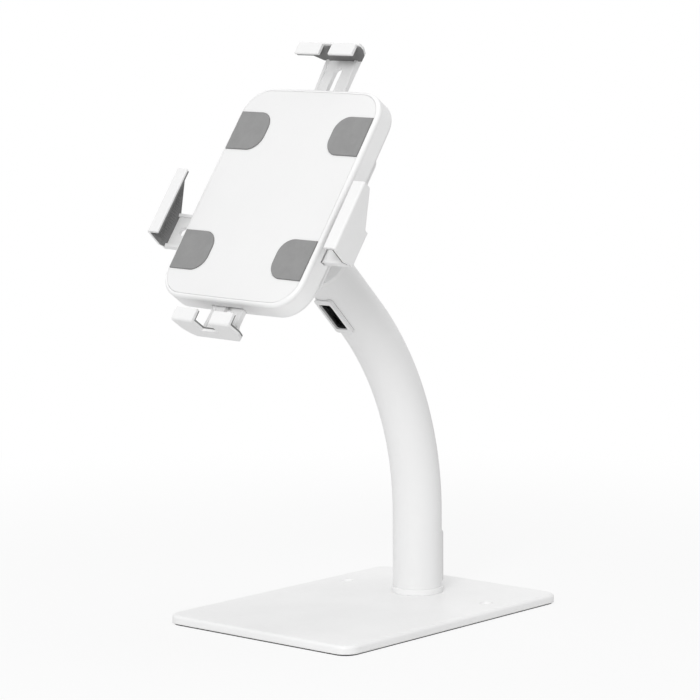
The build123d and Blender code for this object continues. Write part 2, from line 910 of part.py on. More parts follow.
def make_jaws():
    left = top_lip_gap_middle - top_lip_gap / 2
    right = top_lip_gap_middle + top_lip_gap / 2
    top_lips = ((-top_jaw_half, left), (right, top_jaw_half - top_lip_setback))
    top = jaw(top_outline(), top_lips, 0, end_arm_half, end_arm_length)
    left = bottom_lip_gap_middle - bottom_lip_gap / 2
    right = bottom_lip_gap_middle + bottom_lip_gap / 2
    bottom_lips = ((-bottom_jaw_half, left), (right, bottom_jaw_half))
    notch = (left, right, -bottom_notch_drop)
    bottom = jaw(
        bottom_outline(), bottom_lips, 0, end_arm_half, end_arm_length, notch, arm_flare
    )
    side_lip = ((side_foot_top, side_tip_top),)
    side = jaw(side_outline(), side_lip, side_arm_y, side_arm_half, side_arm_length)
    turn = Rot(0, 0, 90) * Pos(0, side_jaw_x)
    pieces = {}
    for name, pair in (("top", top), ("bottom", bottom), ("left", side), ("right", side)):
        for kind, shape in zip(("jaw_", "liner_"), pair):
            if name == "top":
                shape = Pos(0, top_jaw_y) * shape
            elif name == "bottom":
                shape = mirror(Pos(0, bottom_jaw_y) * shape, about=Plane.XZ)
            elif name == "left":
                shape = turn * shape
            else:
                shape = mirror(turn * shape, about=Plane.YZ)
            pieces[kind + name] = shape
    return pieces


# Rear cover and lock
def make_rear_cover():
    middle = (cover_high + cover_low) / 2
    outline = RectangleRounded(2 * cover_half_width, cover_high - cover_low, cover_corner)
    cover = slab(Pos(0, middle) * outline, -cover_back, -body_depth)
    cover = fillet(cover.faces().sort_by(Axis.Z)[0].edges(), cover_round)
    cover -= disc(cover_notch_half, -cover_back - overrun, 0)
    notch = (0, cover_half_width + overrun)
    notch_range = (-cover_notch_half, cover_notch_half)
    cover -= box(notch, notch_range, (-cover_back - overrun, 0))
    return cover - disc(lock_case_diameter / 2 + seat_gap, -cover_back - overrun, 0, lock_x)


def make_lock_case():
    low = -cover_back - lock_case_proud
    case = disc(lock_case_diameter / 2, low, -floor_level - lock_case_inset, lock_x)
    case = fillet(case.faces().sort_by(Axis.Z)[0].edges(), lock_case_proud / 2)
    return case - disc(lock_core_diameter / 2 + running_gap, low - overrun, 0, lock_x)


def make_lock_core():
    low = -cover_back - lock_core_proud
    core = disc(lock_core_diameter / 2, low, -floor_level + cam_gap, lock_x)
    half = key_slot_width / 2
    length = key_slot_length / 2
    slot = box((-half, half), (-length, length), (low - overrun, low + key_slot_depth))
    return core - Pos(lock_x) * slot


def make_lock_cam():
    tip = Pos(0, cam_reach - cam_tip_radius) * Circle(cam_tip_radius)
    outline = hull(Circle(cam_root_radius), tip)
    low = -floor_level + cam_gap
    return Pos(lock_x) * slab(outline, low, low + cam_thickness)


# Build and export
def all_nodes():
    lower, upper = port_planes()
    nodes = {
        "base_plate": make_base_plate(),
        "base_sheet": make_base_sheet(),
        "pole_tube": make_pole_tube(),
        "pole_foot_plug": make_foot_plug(),
        "pole_foot_collar": make_collar(),
        "pole_screws": [place * make_pole_screw() for place in pole_screw_places()],
        "lower_cable_port": make_port(
            lower, port_width, lower_port_length, lower_port_opening, lower_port_proud
        ),
        "upper_cable_port": make_port(
            upper, upper_port_width, upper_port_length, upper_port_opening, upper_port_proud
        ),
        "pole_head": make_pole_head(),
        "head_screw": make_head_screw(),
    }
    on_bracket = {
        "tilt_bolt": make_tilt_bolt(),
        "tilt_nut": make_tilt_nut(),
        "tilt_washers": make_tilt_washers(),
        "tilt_bracket": make_bracket(),
        "swivel_screw": make_swivel_screw(),
        "swivel_washer": make_swivel_washer(),
        "swivel_friction_ring": make_friction_ring(),
    }
    in_holder = {
        "rear_housing": make_rear_housing(),
        "front_bezel": make_front_bezel(),
        "face_plate": make_face_plate(),
        "rear_cover": make_rear_cover(),
        "lock_case": make_lock_case(),
        "lock_core": make_lock_core(),
        "lock_cam": make_lock_cam(),
        "arm_inserts": make_inserts(),
        "arm_clamp_screws": [place * make_clamp_screw() for place in clamp_places()],
        "housing_screws": [place * make_housing_screw() for place in pillar_places()],
    }
    for corner, pad in corner_copies(make_pad()).items():
        in_holder["pad_" + corner] = pad
    in_holder.update(make_jaws())
    for name, shape in on_bracket.items():
        nodes[name] = placed(shape, on_tilt)
    for name, shape in in_holder.items():
        nodes[name] = placed(shape, on_holder)
    return nodes


def placed(shape, place):
    """Place one shape or a list of copies."""
    if isinstance(shape, list):
        return [place(item) for item in shape]
    return place(shape)


os.makedirs("parts", exist_ok=True)
for node, shape in all_nodes().items():
    items = shape if isinstance(shape, list) else [shape]
    solids = [solid for item in items for solid in item.solids()]
    result = solids[0] if len(solids) == 1 else Compound(children=solids)
    export_step(result, os.path.join("parts", node + ".step"))
    print(node, len(solids), round(sum(solid.volume for solid in solids) / 1000, 2), "cm3")
print("pin", pin_centre, "holder", holder_centre, holder_plane.x_dir, holder_plane.y_dir)
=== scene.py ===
"""Desk stand for a tablet: finishes, fasteners, grips, studio and camera.

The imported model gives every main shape. This script dresses those shapes and
builds the small repeating pieces: screws with threads, knurled inserts and
the grip ribs on the jaws' liners.
"""

import logging
import math
from dataclasses import asdict, dataclass, field
from enum import Enum
from typing import Any, ClassVar, Iterable, Sequence

import bmesh
import bpy
from mathutils import Matrix, Vector
from mathutils.bvhtree import BVHTree

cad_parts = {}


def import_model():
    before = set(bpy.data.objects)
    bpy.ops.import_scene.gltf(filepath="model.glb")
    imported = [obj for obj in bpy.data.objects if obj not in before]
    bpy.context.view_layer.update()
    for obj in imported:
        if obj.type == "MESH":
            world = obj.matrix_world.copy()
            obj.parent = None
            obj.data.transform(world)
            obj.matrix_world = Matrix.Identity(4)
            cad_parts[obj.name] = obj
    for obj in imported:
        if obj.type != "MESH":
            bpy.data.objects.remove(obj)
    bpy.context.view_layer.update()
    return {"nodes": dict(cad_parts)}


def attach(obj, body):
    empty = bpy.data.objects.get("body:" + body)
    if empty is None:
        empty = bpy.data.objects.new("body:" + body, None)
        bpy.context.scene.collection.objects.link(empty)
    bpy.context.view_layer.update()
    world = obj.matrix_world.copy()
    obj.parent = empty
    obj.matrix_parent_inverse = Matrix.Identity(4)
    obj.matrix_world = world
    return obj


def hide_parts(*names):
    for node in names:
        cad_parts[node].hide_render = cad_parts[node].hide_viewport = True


frame: dict[str, Any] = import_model()

log = logging.getLogger("tablet_stand")
MM = 0.001
Colour = tuple[float, float, float]
Place = tuple[float, float, float]
WHITE = (1.0, 1.0, 1.0, 1.0)
SAME_POINT = 1e-6
SHARP_ANGLE = math.radians(32)


class Slot(Enum):
    """Material slots of the record that the new pieces use."""

    RUBBER_DARK = "rubber_dark"
    STEEL = "steel"
    BRASS = "brass"


class Body(Enum):
    """Moving bodies that carry the new pieces."""

    STAND = "stand"
    HOLDER = "holder"
    TOP_JAW = "top_jaw"
    BOTTOM_JAW = "bottom_jaw"
    LEFT_JAW = "left_jaw"
    RIGHT_JAW = "right_jaw"


class Jaw(Enum):
    """Jaws by their place round the holder."""

    TOP = "top"
    BOTTOM = "bottom"
    LEFT = "left"
    RIGHT = "right"

    @property
    def body(self) -> Body:
        """Body that the jaw moves."""
        return Body(self.value + "_jaw")


def linear(level: float) -> float:
    """Linear value of a display level from 0 to 255."""
    level = level / 255
    return level / 12.92 if level <= 0.04045 else ((level + 0.055) / 1.055) ** 2.4


def grey(level: float, warmth: float = 0.0) -> Colour:
    """Linear grey of a display level, warmer or cooler by a small share.

    Args:
        level: Display level from 0 to 255.
        warmth: Share added to red and taken from blue.

    Returns:
        Linear red, green and blue.
    """
    value = linear(level)
    return (value * (1 + warmth), value, value * (1 - warmth))


class NodeSheet:
    """A node tree that is filled by short calls."""

    def __init__(self, tree: bpy.types.NodeTree) -> None:
        """Keeps the tree that the calls add to."""
        self.tree = tree

    def add(
        self, kind: str, inputs: dict[str | int, Any] | None = None, **facts: Any
    ) -> bpy.types.Node:
        """Adds a node with its settings.

        Args:
            kind: Blender's type name of the node.
            inputs: Values or output sockets for its inputs, by name or number.
            **facts: Properties of the node.

        Returns:
            The new node.
        """
        node = self.tree.nodes.new(kind)
        for name, value in facts.items():
            setattr(node, name, value)
        for name, value in (inputs or {}).items():
            self.feed(node.inputs[name], value)
        return node

    def feed(self, socket: bpy.types.NodeSocket, value: Any) -> None:
        """Links or sets one input socket."""
        if isinstance(value, bpy.types.NodeSocket):
            self.tree.links.new(value, socket)
        else:
            socket.default_value = value

    def maths(self, operation: str, *values: Any, clamp: bool = False) -> bpy.types.NodeSocket:
        """Output of a Math node on the given values."""
        node = self.add("ShaderNodeMath", operation=operation, use_clamp=clamp)
        for number, value in enumerate(values):
            self.feed(node.inputs[number], value)
        return node.outputs[0]

    def group(self, tree: bpy.types.NodeTree, inputs: dict[str, Any]) -> bpy.types.Node:
        """Adds a shader group with its inputs."""
        return self.add("ShaderNodeGroup", inputs, node_tree=tree)

    def ramp(
        self, value: Any, low: float, high: float, to_low: float = 0.0, to_high: float = 1.0
    ) -> bpy.types.NodeSocket:
        """Output of a clamped, smooth Map Range node."""
        node = self.add(
            "ShaderNodeMapRange",
            {0: value, 1: low, 2: high, 3: to_low, 4: to_high},
            interpolation_type="SMOOTHSTEP",
        )
        return node.outputs[0]

    def noise(
        self, vector: Any, scale: Any, detail: float, roughness: float
    ) -> bpy.types.NodeSocket:
        """Factor of a Noise Texture node."""
        inputs = {"Vector": vector, "Scale": scale, "Detail": detail, "Roughness": roughness}
        return self.add("ShaderNodeTexNoise", inputs).outputs["Fac"]

    def blend(self, share: Any, first: Any, second: Any) -> bpy.types.NodeSocket:
        """Colour between two colours."""
        node = self.add("ShaderNodeMix", data_type="RGBA")
        for number, value in ((0, share), (6, first), (7, second)):
            if isinstance(value, tuple) and len(value) == 3:
                value = (*value, 1.0)
            self.feed(node.inputs[number], value)
        return node.outputs[2]


def empty_sheet(owner: bpy.types.Material | bpy.types.World) -> NodeSheet:
    """Emptied node tree of a material or a world."""
    owner.use_nodes = True
    owner.node_tree.nodes.clear()
    return NodeSheet(owner.node_tree)


class ShaderGroups:
    """Effects that several finishes share, each built once."""

    BEVEL_SAMPLES = 4
    WEAR_PATCHES = (0.35, 0.65, 0.35, 1.0)
    TONE_RANGE = (0.3, 0.7)
    FINE_SHARE = 0.5
    ROUGH_RANGE = (0.45, 1.05)
    UPWARD_RANGE = (0.2, 0.95)
    SPECK_RANGE = (0.42, 0.72)
    LINE_RANGE = (0.35, 0.7)

    def __init__(self) -> None:
        """Builds every group."""
        self.softened_edges = self._softened_edges()
        self.surface_grain = self._surface_grain()
        self.settled_dust = self._settled_dust()
        self.long_scratches = self._long_scratches()
        self.pipe_bore = self._pipe_bore()

    @staticmethod
    def _sheet(
        name: str, inputs: dict[str, float | None], outputs: dict[str, type]
    ) -> tuple[
        bpy.types.NodeTree, NodeSheet, bpy.types.NodeSocket, bpy.types.Node, bpy.types.Node
    ]:
        """Starts a group with named sockets.

        Args:
            name: Name of the group.
            inputs: Default of each number by name, None for a vector.
            outputs: Kind of each output by name, float or Vector.

        Returns:
            The tree, its sheet, its Vector input, and its input and output nodes.
        """
        tree = bpy.data.node_groups.new(name, "ShaderNodeTree")
        for title, value in inputs.items():
            kind = "NodeSocketVector" if value is None else "NodeSocketFloat"
            socket = tree.interface.new_socket(title, in_out="INPUT", socket_type=kind)
            if value is not None:
                socket.default_value = value
        for title, form in outputs.items():
            kind = "NodeSocketVector" if form is Vector else "NodeSocketFloat"
            tree.interface.new_socket(title, in_out="OUTPUT", socket_type=kind)
        sheet = NodeSheet(tree)
        given = sheet.add("NodeGroupInput")
        return tree, sheet, given.outputs["Vector"], given, sheet.add("NodeGroupOutput")

    def _softened_edges(self) -> bpy.types.NodeTree:
        """Rounded normal and a mask along the edges, where the finishes paint a highlight (on the
        pads a shadow line).
        """
        tree, sheet, at, given, out = self._sheet(
            "softened_edges",
            {"Vector": None, "Radius": 0.0004, "Spread": 0.12, "Breakup": 60.0},
            {"Normal": Vector, "Edge": float},
        )
        rounded = sheet.add(
            "ShaderNodeBevel", {"Radius": given.outputs["Radius"]}, samples=self.BEVEL_SAMPLES
        )
        flat = sheet.add("ShaderNodeNewGeometry")
        dot = sheet.add(
            "ShaderNodeVectorMath",
            {0: rounded.outputs[0], 1: flat.outputs["Normal"]},
            operation="DOT_PRODUCT",
        )
        turn = sheet.maths("SUBTRACT", 1.0, dot.outputs["Value"], clamp=True)
        noise = sheet.noise(at, given.outputs["Breakup"], 3.0, 0.5)
        patchy = sheet.ramp(noise, *self.WEAR_PATCHES)
        share = sheet.maths("DIVIDE", turn, given.outputs["Spread"], clamp=True)
        sheet.feed(out.inputs["Edge"], sheet.maths("MULTIPLY", share, patchy))
        sheet.feed(out.inputs["Normal"], rounded.outputs[0])
        return tree

    def _surface_grain(self) -> bpy.types.NodeTree:
        """Fine relief, a slow change of tone and a change of roughness."""
        tree, sheet, at, given, out = self._sheet(
            "surface_grain",
            {"Vector": None, "Grain size": 0.001, "Cloud size": 0.05, "Pits": 0.0},
            {"Height": float, "Tone": float, "Rough": float},
        )
        fine_scale = sheet.maths("DIVIDE", 1.0, given.outputs["Grain size"])
        cloud_scale = sheet.maths("DIVIDE", 1.0, given.outputs["Cloud size"])
        fine = sheet.noise(at, fine_scale, 3.0, 0.55)
        cells = sheet.add(
            "ShaderNodeTexVoronoi",
            {"Vector": at, "Scale": fine_scale},
            feature="SMOOTH_F1",
        )
        pits = sheet.maths("MULTIPLY", cells.outputs["Distance"], given.outputs["Pits"])
        clouds = sheet.noise(at, cloud_scale, 4.0, 0.6)
        sheet.feed(out.inputs["Height"], sheet.maths("ADD", fine, pits))
        sheet.feed(out.inputs["Tone"], sheet.ramp(clouds, *self.TONE_RANGE))
        mixed = sheet.maths("MULTIPLY_ADD", fine, self.FINE_SHARE, clouds)
        sheet.feed(out.inputs["Rough"], sheet.ramp(mixed, *self.ROUGH_RANGE))
        return tree

    def _settled_dust(self) -> bpy.types.NodeTree:
        """Mask of the thin dust that lies on what faces up."""
        tree, sheet, at, given, out = self._sheet(
            "settled_dust",
            {"Vector": None, "Normal": None, "Amount": 0.1, "Speck size": 0.004},
            {"Dust": float},
        )
        parts = sheet.add("ShaderNodeSeparateXYZ", {0: given.outputs["Normal"]})
        facing = sheet.ramp(parts.outputs["Z"], *self.UPWARD_RANGE)
        scale = sheet.maths("DIVIDE", 1.0, given.outputs["Speck size"])
        noise = sheet.noise(at, scale, 5.0, 0.7)
        patchy = sheet.ramp(noise, *self.SPECK_RANGE)
        lying = sheet.maths("MULTIPLY", facing, patchy)
        sheet.feed(out.inputs["Dust"], sheet.maths("MULTIPLY", lying, given.outputs["Amount"]))
        return tree

    def _long_scratches(self) -> bpy.types.NodeTree:
        """Fine lines along one direction, for brushed and turned metal."""
        tree, sheet, at, given, out = self._sheet(
            "long_scratches",
            {"Vector": None, "Stretch": None, "Line size": 0.0003},
            {"Height": float, "Line": float},
        )
        laid = sheet.add(
            "ShaderNodeVectorMath",
            {0: at, 1: given.outputs["Stretch"]},
            operation="MULTIPLY",
        )
        scale = sheet.maths("DIVIDE", 1.0, given.outputs["Line size"])
        noise = sheet.noise(laid.outputs[0], scale, 2.0, 0.5)
        sheet.feed(out.inputs["Height"], noise)
        sheet.feed(out.inputs["Line"], sheet.ramp(noise, *self.LINE_RANGE))
        return tree

    def _pipe_bore(self) -> bpy.types.NodeTree:
        """Mask of what lies within a radius of the pole's middle line, where the finishes paint the
        shade inside the tube's bore and the cord ports.
        """
        tree, sheet, at, given, out = self._sheet(
            "pipe_bore",
            {
                "Vector": None,
                "Foot y": 0.061,
                "Bend start": 0.07,
                "Bend radius": 0.2186,
                "Bend angle": 0.79936,
                "Radius": 0.0172,
                "Blur": 0.0004,
            },
            {"Inside": float},
        )
        parts = sheet.add("ShaderNodeSeparateXYZ", {0: at})
        middle = sheet.maths("SUBTRACT", given.outputs["Foot y"], given.outputs["Bend radius"])
        across = sheet.maths("SUBTRACT", parts.outputs["Y"], middle)
        above = sheet.maths("SUBTRACT", parts.outputs["Z"], given.outputs["Bend start"])
        turn = sheet.maths("MAXIMUM", sheet.maths("ARCTAN2", above, across), 0.0)
        turn = sheet.maths("MINIMUM", turn, given.outputs["Bend angle"])
        level = sheet.maths(
            "ADD",
            sheet.maths("MULTIPLY", across, sheet.maths("COSINE", turn)),
            sheet.maths("MULTIPLY", above, sheet.maths("SINE", turn)),
        )
        off = sheet.maths("SUBTRACT", level, given.outputs["Bend radius"])
        side = sheet.maths("MULTIPLY", parts.outputs["X"], parts.outputs["X"])
        reach = sheet.maths("SQRT", sheet.maths("MULTIPLY_ADD", off, off, side))
        past = sheet.maths("SUBTRACT", given.outputs["Radius"], reach)
        inside = sheet.maths("DIVIDE", past, given.outputs["Blur"], clamp=True)
        sheet.feed(out.inputs["Inside"], inside)
        return tree


@dataclass(frozen=True)
class Finish:
    """One finish: its colours, its relief, its dust, its painted edge highlights and painted bore
    shade, in millimetres.
    """

    TONE_SHARE: ClassVar[float] = 0.5
    SCRATCH_SHARE: ClassVar[float] = 0.35
    STRETCH: ClassVar[Place] = (1.0, 1.0, 0.06)
    ROUGHER: ClassVar[float] = 0.3
    DUST_COLOUR: ClassVar[Colour] = grey(205, 0.01)
    # Near-black painted shade for the inside of the tube's bore and the cord ports' sleeves.
    BORE_COLOUR: ClassVar[Colour] = (0.02, 0.02, 0.021)

    name: str
    colour: Colour
    shade: Colour
    roughness: tuple[float, float]
    grain: float
    relief: float
    edge_colour: Colour
    edge_wear: float = 0.3
    edge_radius: float = 0.35
    cloud: float = 45.0
    pits: float = 0.0
    dust: float = 0.0
    metallic: float = 0.0
    coat: float = 0.0
    coat_roughness: float = 0.1
    sheen: float = 0.0
    brushed: bool = False
    # Radius within which the bore's shade is painted, 0 for none.
    bore_radius: float = 0.0

    def make(self, groups: ShaderGroups) -> bpy.types.Material:
        """Builds the material.

        Args:
            groups: The shared shader groups.

        Returns:
            The finished material.
        """
        material = bpy.data.materials.new(self.name)
        sheet = empty_sheet(material)
        place = sheet.add("ShaderNodeTexCoord")
        at = place.outputs["Object"]
        edges = sheet.group(
            groups.softened_edges, {"Vector": at, "Radius": self.edge_radius * MM}
        )
        grain = sheet.group(
            groups.surface_grain,
            {
                "Vector": at,
                "Grain size": self.grain * MM,
                "Cloud size": self.cloud * MM,
                "Pits": self.pits,
            },
        )
        height = grain.outputs["Height"]
        tone = sheet.maths("MULTIPLY", grain.outputs["Tone"], self.TONE_SHARE)
        colour = sheet.blend(tone, self.colour, self.shade)
        rough = sheet.ramp(grain.outputs["Rough"], 0.0, 1.0, *self.roughness)
        if self.brushed:
            lines = sheet.group(
                groups.long_scratches,
                {"Vector": at, "Stretch": self.STRETCH, "Line size": self.grain * MM},
            )
            height = lines.outputs["Height"]
            marks = sheet.maths("MULTIPLY", lines.outputs["Line"], self.SCRATCH_SHARE)
            colour = sheet.blend(marks, colour, self.shade)
        # Painted highlight along the edges, broken into patches; on the pads the darker edge colour
        # paints a shadow line instead.
        edge_paint = sheet.maths("MULTIPLY", edges.outputs["Edge"], self.edge_wear)
        colour = sheet.blend(edge_paint, colour, self.edge_colour)
        dust_and_shade = []
        if self.dust:
            dust = sheet.group(
                groups.settled_dust,
                {"Vector": at, "Normal": place.outputs["Normal"], "Amount": self.dust},
            )
            dust_and_shade.append((dust.outputs["Dust"], self.DUST_COLOUR))
        # Painted shade: within the bore radius of the pole's middle line the colour goes near
        # black, standing for the shade inside the tube and the ports.
        if self.bore_radius:
            bore = sheet.group(
                groups.pipe_bore, {"Vector": at, "Radius": self.bore_radius * MM}
            )
            dust_and_shade.append((bore.outputs["Inside"], self.BORE_COLOUR))
        for mask, layer_tint in dust_and_shade:
            colour = sheet.blend(mask, colour, layer_tint)
            rough = sheet.maths("MULTIPLY_ADD", mask, self.ROUGHER, rough, clamp=True)
        bump = sheet.add(
            "ShaderNodeBump",
            {
                "Height": height,
                "Normal": edges.outputs["Normal"],
                "Strength": 1.0,
                "Distance": self.relief * MM,
            },
        )
        shader = sheet.add(
            "ShaderNodeBsdfPrincipled",
            {
                "Base Color": colour,
                "Roughness": rough,
                "Normal": bump.outputs[0],
                "Metallic": self.metallic,
                "Coat Weight": self.coat,
                "Coat Roughness": self.coat_roughness,
                "Sheen Weight": self.sheen,
            },
        )
        out = sheet.add("ShaderNodeOutputMaterial", {"Surface": shader.outputs[0]})
        out.is_active_output = True
        return material


@dataclass(frozen=True)
class FinishBook:
    """Every finish of the stand."""

    # The light edge colour paints the highlight on the plate's front edges.
    powder_coat: Finish = Finish(
        "white_powder_coat", grey(242), grey(237), (0.36, 0.5), 0.9, 0.006,
        grey(251), edge_wear=0.7, edge_radius=1.1, cloud=70, pits=0.35, dust=0.05,
        coat=0.12, coat_roughness=0.28,
    )
    pipe: Finish = Finish(
        "white_powder_coat_pipe", grey(238), grey(234), (0.34, 0.46), 0.9, 0.006,
        grey(248), edge_radius=0.5, cloud=70, pits=0.35, dust=0.04,
        coat=0.15, coat_roughness=0.25, bore_radius=17.3,
    )
    port: Finish = Finish(
        "white_cord_port", grey(236), grey(230), (0.42, 0.56), 0.45, 0.005,
        grey(248), edge_wear=0.4, edge_radius=0.4, cloud=20, pits=0.5, dust=0.04, bore_radius=19.4,
    )
    shell: Finish = Finish(
        "white_moulded_shell", grey(240), grey(236), (0.42, 0.56), 0.45, 0.006,
        grey(249), edge_wear=0.35, edge_radius=0.4, cloud=60, pits=0.5, dust=0.04,
    )
    face: Finish = Finish(
        "white_textured_face", grey(230), grey(227), (0.46, 0.6), 0.5, 0.01,
        grey(248), edge_radius=0.3, cloud=80, pits=0.6, dust=0.03,
    )
    bezel: Finish = Finish(
        "white_satin_bezel", grey(238), grey(234), (0.3, 0.42), 0.5, 0.003,
        grey(253), edge_radius=0.5, cloud=60, pits=0.3, dust=0.03, coat=0.2,
    )
    jaw: Finish = Finish(
        "white_jaw_moulding", grey(233), grey(228), (0.38, 0.52), 0.45, 0.005,
        grey(250), edge_wear=0.45, edge_radius=0.45, cloud=30, pits=0.4, dust=0.03,
    )
    # The dark edge colour paints a shadow line round each pad.
    pad: Finish = Finish(
        "grey_grip_pad", grey(138), grey(131), (0.66, 0.82), 0.35, 0.012,
        grey(96), edge_wear=0.8, edge_radius=0.4, cloud=12, pits=0.8, dust=0.05, sheen=0.08,
    )
    liner: Finish = Finish(
        "dark_jaw_liner", grey(120), grey(108), (0.62, 0.8), 0.4, 0.012,
        grey(132), edge_radius=0.25, cloud=14, pits=0.8, dust=0.06, sheen=0.08,
    )
    foot: Finish = Finish(
        "black_foot_sheet", grey(52), grey(44), (0.7, 0.9), 0.8, 0.03,
        grey(70), edge_radius=0.2, cloud=30, pits=1.0,
    )
    nylon: Finish = Finish(
        "black_nylon", grey(50), grey(40), (0.4, 0.55), 0.4, 0.005,
        grey(80), edge_wear=0.4, edge_radius=0.25, cloud=10, pits=0.5, dust=0.06,
    )
    steel: Finish = Finish(
        "zinc_plated_steel", grey(196), grey(160, -0.01), (0.24, 0.42), 0.25, 0.004,
        grey(225), edge_wear=0.6, edge_radius=0.2, cloud=6, metallic=1.0, brushed=True,
    )
    chrome: Finish = Finish(
        "chromed_lock_face", grey(215), grey(200), (0.08, 0.18), 0.6, 0.002,
        grey(235), edge_wear=0.5, edge_radius=0.25, cloud=8, metallic=1.0,
    )
    brass: Finish = Finish(
        "turned_brass", (0.66, 0.44, 0.17), (0.5, 0.31, 0.1), (0.25, 0.4), 0.25, 0.004,
        (0.82, 0.62, 0.32), edge_wear=0.6, edge_radius=0.2, cloud=5, metallic=1.0, brushed=True,
    )


class Workshop:
    """Finished materials and the calls that put pieces on the stand."""

    def __init__(self) -> None:
        """Builds the groups and every finish."""
        self.groups = ShaderGroups()
        self.book = FinishBook()
        self.materials: dict[str, bpy.types.Material] = {}

    def material(self, finish: Finish) -> bpy.types.Material:
        """Material of a finish, built once."""
        if finish.name not in self.materials:
            self.materials[finish.name] = finish.make(self.groups)
        return self.materials[finish.name]

    def dress(self, finish: Finish, *nodes: str) -> None:
        """Puts a finish on the CAD nodes named.

        Args:
            finish: Finish that they get.
            *nodes: Names of the CAD nodes.
        """
        for name in nodes:
            slots = frame["nodes"][name].data.materials
            if not len(slots):
                slots.append(self.material(finish))
            for number in range(len(slots)):
                slots[number] = self.material(finish)
            log.info("%s: %s", name, finish.name)

    def fit(self, piece: bpy.types.Object, body: Body, slot: Slot, *nodes: str) -> None:
        """Hangs a new piece on its body and hides the CAD nodes that it stands for.

        Args:
            piece: The finished piece.
            body: Body that carries it.
            slot: Slot of the record that it belongs to; not used.
            *nodes: CAD nodes that it stands for.
        """
        if nodes:
            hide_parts(*nodes)
        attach(piece, body.value)
        log.info("%s: on %s, %d faces", piece.name, body.value, len(piece.data.polygons))


def new_piece(name: str, data: bpy.types.ID) -> bpy.types.Object:
    """Object at the origin that holds a mesh, a lamp or a camera, in the scene."""
    piece = bpy.data.objects.new(name, data)
    bpy.context.scene.collection.objects.link(piece)
    return piece


def middle(points: Sequence[Vector]) -> Vector:
    """Mean of several points."""
    return sum(points, Vector()) / len(points)


def span(values: Sequence[float]) -> tuple[float, float]:
    """Least and greatest of several values."""
    return min(values), max(values)


def solids(node: str) -> list[list[Vector]]:
    """Corner points of each separate solid in a CAD node.

    Args:
        node: Name of the CAD node.

    Returns:
        One list of points for each solid, in a fixed order.
    """
    mesh = bmesh.new()
    mesh.from_mesh(frame["nodes"][node].data)
    bmesh.ops.remove_doubles(mesh, verts=mesh.verts, dist=SAME_POINT)
    seen: set[int] = set()
    found: list[list[Vector]] = []
    for start in mesh.verts:
        if start.index in seen:
            continue
        seen.add(start.index)
        queue, points = [start], []
        while queue:
            corner = queue.pop()
            points.append(corner.co.copy())
            for edge in corner.link_edges:
                other = edge.other_vert(corner)
                if other.index not in seen:
                    seen.add(other.index)
                    queue.append(other)
        found.append(points)
    mesh.free()
    return sorted(found, key=lambda points: tuple(round(v, 4) for v in middle(points)))


@dataclass(frozen=True)
class Shaft:
    """A round solid: the middle of its head end and its length."""

    head: Vector
    length: float


def shafts(node: str, out: Vector) -> list[Shaft]:
    """Each round solid of a node, seen along one axis.

    Args:
        node: Name of the CAD node.
        out: Direction in which the heads face.

    Returns:
        One shaft for each solid.
    """
    out = out.normalized()
    side = out.orthogonal().normalized()
    up = out.cross(side)
    found = []
    for points in solids(node):
        ranges = [span([point.dot(axis) for point in points]) for axis in (side, up, out)]
        foot, head = ranges[2]
        line = side * (sum(ranges[0]) / 2) + up * (sum(ranges[1]) / 2)
        found.append(Shaft(line + out * head, head - foot))
    return found


